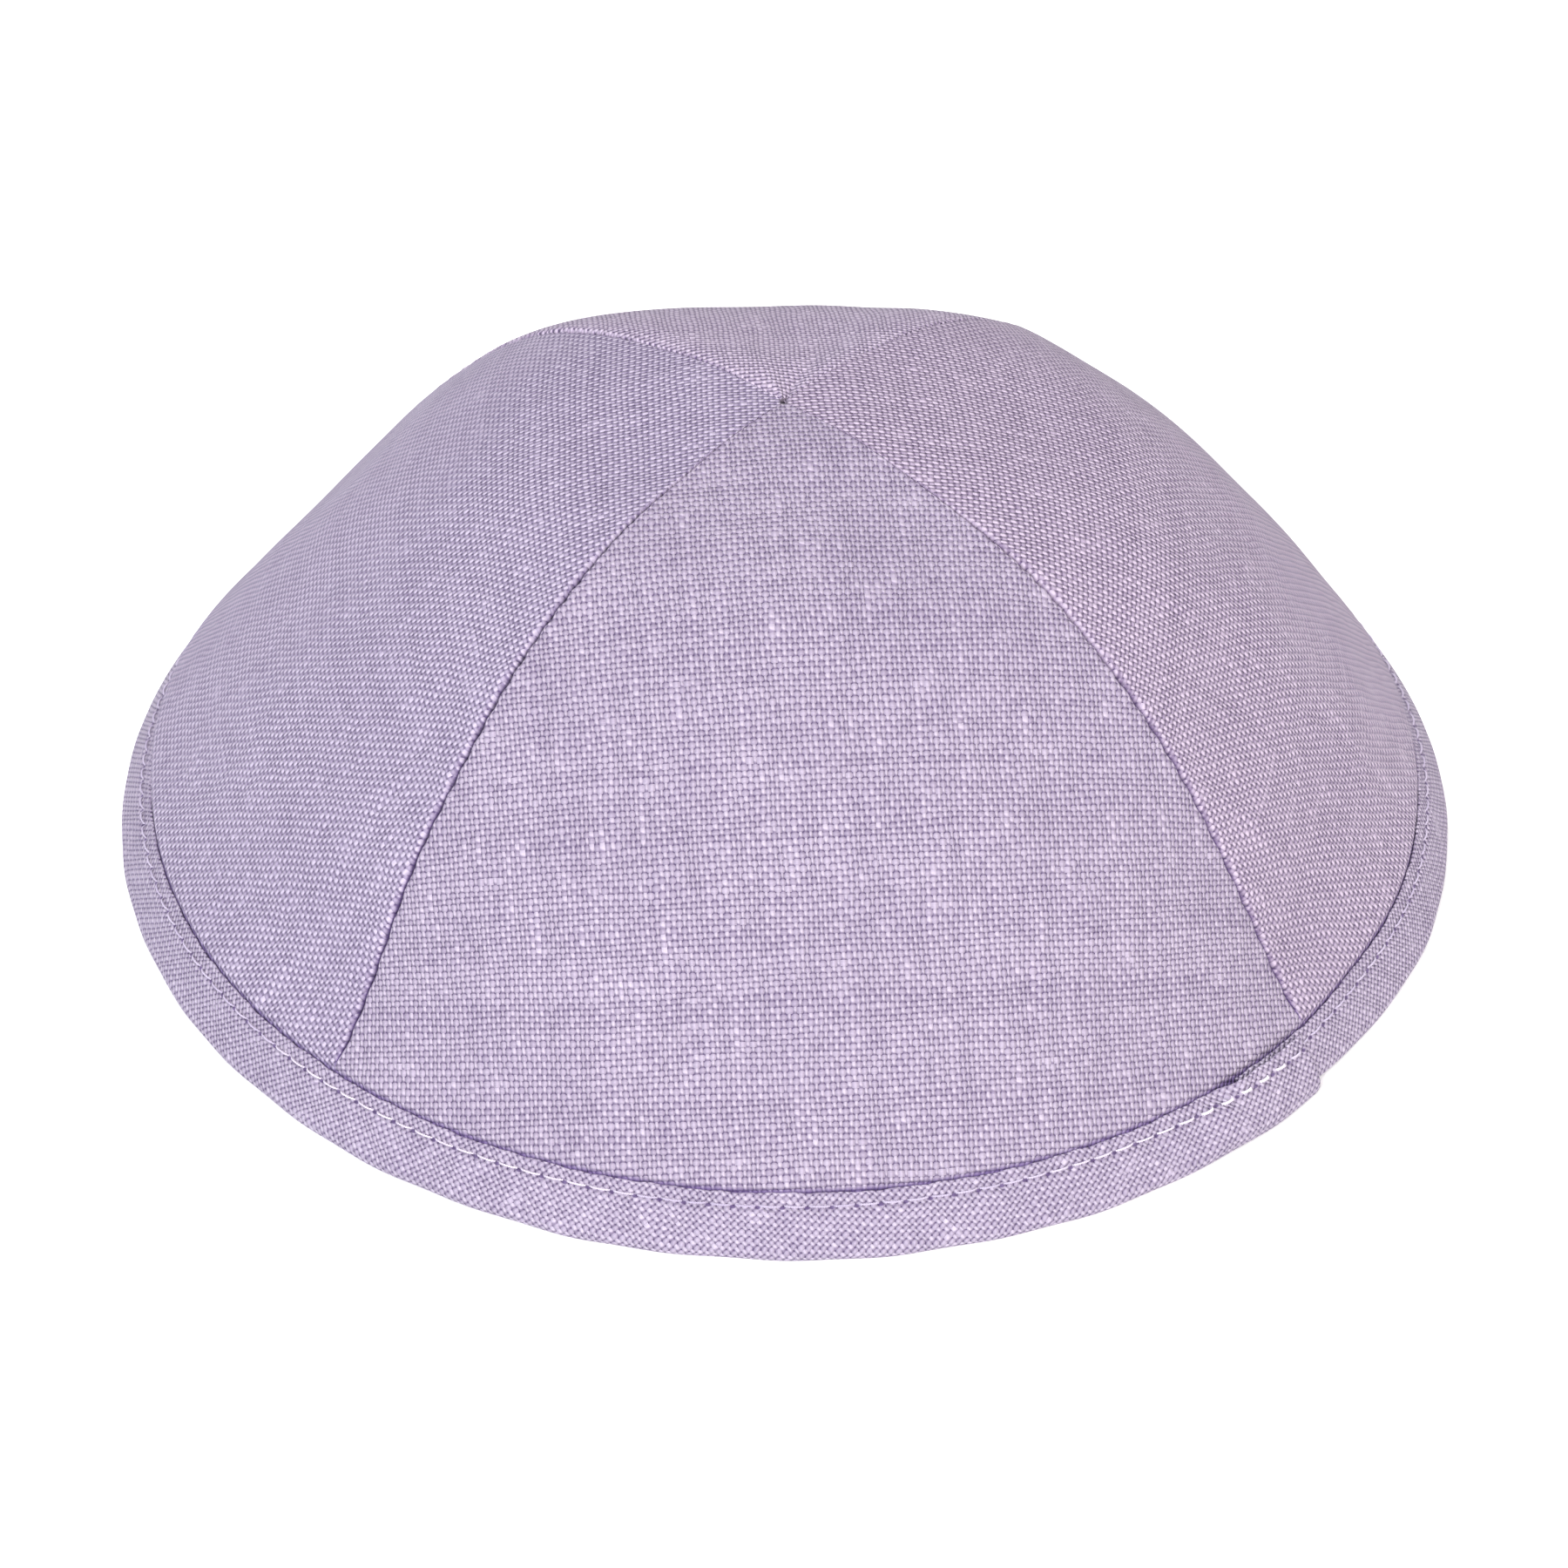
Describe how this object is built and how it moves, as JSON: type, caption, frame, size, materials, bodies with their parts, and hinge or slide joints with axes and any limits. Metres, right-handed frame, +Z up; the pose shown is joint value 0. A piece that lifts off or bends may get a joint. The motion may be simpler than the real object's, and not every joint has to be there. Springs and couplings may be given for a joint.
{
  "type": "four-panel linen skullcap",
  "caption": "Soft round skullcap: four triangular linen gores meet at the crown, and a folded bias tape binds the rim, its end lapped over its start.",
  "frame": {"origin": "middle of the rim, on the surface that the cap rests on", "axes": "+Z up through the crown, -Y towards the front panel, +X towards the right-hand panel"},
  "size_m": [0.1807, 0.1792, 0.0676],
  "materials": {
    "linen_front": "matte plain-weave linen, lilac",
    "linen_right": "matte plain-weave linen, lilac",
    "linen_back": "matte plain-weave linen, lilac",
    "linen_left": "matte plain-weave linen, lilac",
    "linen_tape": "matte plain-weave linen cut on the bias, lilac"
  },
  "bodies": {
    "root": {"panel_front": "linen_front", "panel_right": "linen_right", "panel_back": "linen_back", "panel_left": "linen_left", "edge_tape": "linen_tape"}
  },
  "joints": []
}
